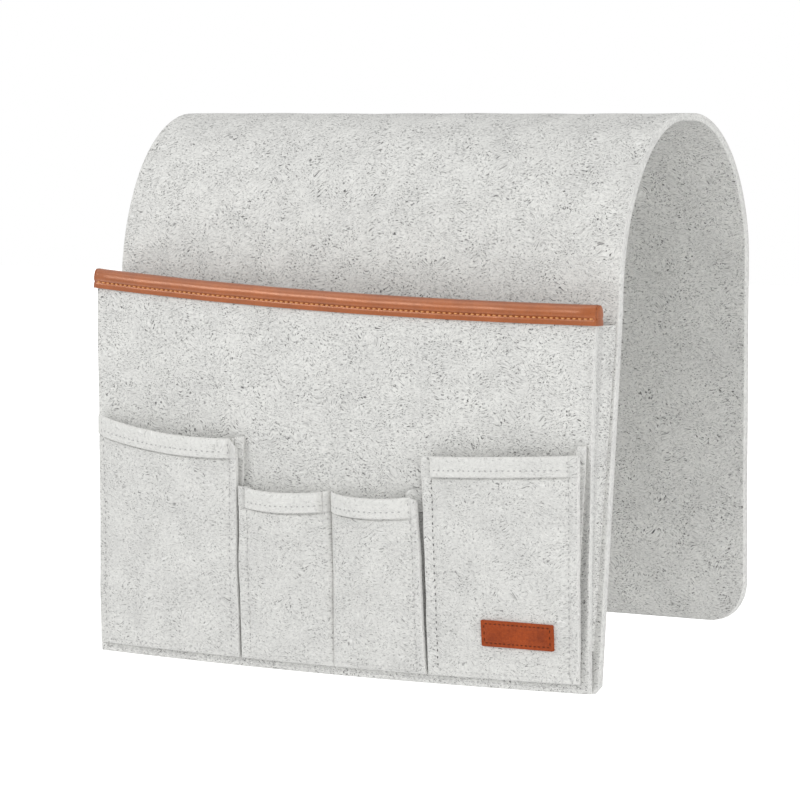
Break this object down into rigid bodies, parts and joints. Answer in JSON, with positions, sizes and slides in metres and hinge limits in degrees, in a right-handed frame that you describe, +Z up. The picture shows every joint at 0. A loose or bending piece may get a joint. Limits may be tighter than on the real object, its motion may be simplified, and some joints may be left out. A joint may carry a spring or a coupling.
{
  "type": "felt bedside caddy",
  "caption": "Felt saddle caddy that hangs over a sofa arm or bed rail, with a leather-bound front pocket, smaller hemmed pockets sewn onto it and a hanging back flap.",
  "frame": {"origin": "middle of the flat strip on the underside of the arch's crown, where the felt lies on the arm", "axes": "+X along the caddy's width to the right of someone facing the pockets, -Y out of the pockets, +Z up"},
  "size_m": [0.3434, 0.1669, 0.3035],
  "materials": {
    "felt": "matte",
    "trim_leather": "satin",
    "label_leather": "matte"
  },
  "bodies": {
    "saddle": {"body_sheet": "felt", "large_pocket_front": "felt", "large_pocket_gusset_left": "felt", "large_pocket_gusset_right": "felt", "mouth_trim": "trim_leather", "left_pocket_front": "felt", "left_pocket_gusset": "felt", "middle_pocket_front": "felt", "middle_pocket_gusset_left": "felt", "middle_pocket_gusset_right": "felt", "right_pocket_front": "felt", "right_pocket_gusset_left": "felt", "right_pocket_gusset_right": "felt", "label_patch": "label_leather"},
    "flap": {"back_flap": "felt"}
  },
  "joints": [
    {"name": "back_flap_swing", "type": "hinge", "parent": "saddle", "child": "flap", "pos_m": [0, 0.059, -0.07215], "axis": [1, 0, 0], "range_deg": [0, 90]}
  ]
}
